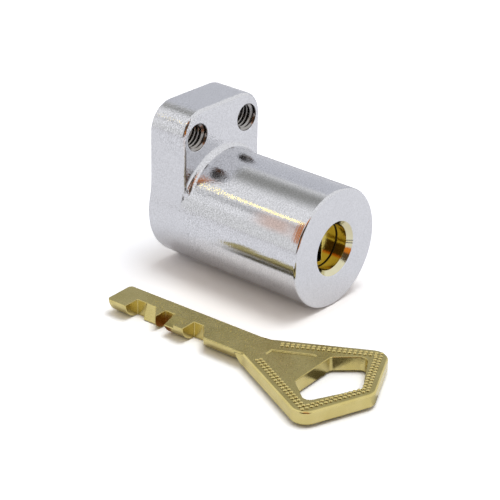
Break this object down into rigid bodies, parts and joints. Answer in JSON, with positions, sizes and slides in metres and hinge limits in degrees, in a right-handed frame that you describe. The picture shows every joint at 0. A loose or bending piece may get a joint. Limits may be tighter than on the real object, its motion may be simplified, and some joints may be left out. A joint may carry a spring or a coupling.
{
  "type": "lock cylinder",
  "caption": "Screw-on lock cylinder with a round nose, a flange with tapped holes, rotating code discs inside, and its half-round key lying beside it.",
  "frame": {"origin": "on the cylinder's axis at the rear mounting face", "axes": "-Y along the axis towards the keyhole, +Z towards the flange, +X to the right seen from the front"},
  "size_m": [0.0464, 0.0604, 0.0312],
  "materials": {
    "satin_chromed_brass": "satin chrome plate over brass, bare brass inside the keyhole",
    "turned_brass": "turned and stamped brass, lightly oiled",
    "hardened_steel": "hardened and ground steel",
    "ground_steel": "ground steel",
    "bronze": "plain bronze",
    "spring_steel": "phosphated spring steel",
    "key_nickel_silver": "satin tumbled nickel silver, milled cuts"
  },
  "bodies": {
    "housing": {"housing": "satin_chromed_brass", "thrust_washer": "bronze", "retaining_ring": "spring_steel", "key": "key_nickel_silver"},
    "barrel": {"barrel": "turned_brass", "drive": "hardened_steel", "code_disc_01": "turned_brass", "code_disc_02": "turned_brass", "code_disc_03": "turned_brass", "code_disc_04": "turned_brass", "code_disc_05": "turned_brass", "code_disc_06": "turned_brass", "code_disc_07": "turned_brass", "code_disc_08": "turned_brass", "code_disc_09": "turned_brass", "code_disc_10": "turned_brass", "spacer_01": "ground_steel", "spacer_02": "ground_steel", "spacer_03": "ground_steel", "spacer_04": "ground_steel", "spacer_05": "ground_steel", "spacer_06": "ground_steel", "spacer_07": "ground_steel", "spacer_08": "ground_steel", "spacer_09": "ground_steel"},
    "sidebar": {"sidebar": "ground_steel"},
    "guide_disc": {"guide_disc": "turned_brass"},
    "drill_guard_disc": {"drill_guard_disc": "hardened_steel"}
  },
  "joints": [
    {"name": "barrel_turn", "type": "hinge", "parent": "housing", "child": "barrel", "pos_m": [0, 0, 0], "axis": [0, 1, 0], "range_deg": [0, 90]},
    {"name": "sidebar_lift", "type": "slide", "parent": "barrel", "child": "sidebar", "axis": [-1, 0, 0], "range_m": [0, 0.0011]},
    {"name": "guide_disc_turn", "type": "hinge", "parent": "housing", "child": "guide_disc", "pos_m": [0, 0, 0], "axis": [0, 1, 0], "range_deg": [0, 180]},
    {"name": "drill_guard_disc_turn", "type": "hinge", "parent": "housing", "child": "drill_guard_disc", "pos_m": [0, 0, 0], "axis": [0, 1, 0], "range_deg": [0, 180]}
  ],
  "couplings": [
    {"joint": "drill_guard_disc_turn", "follows": "guide_disc_turn", "ratio": 1}
  ]
}
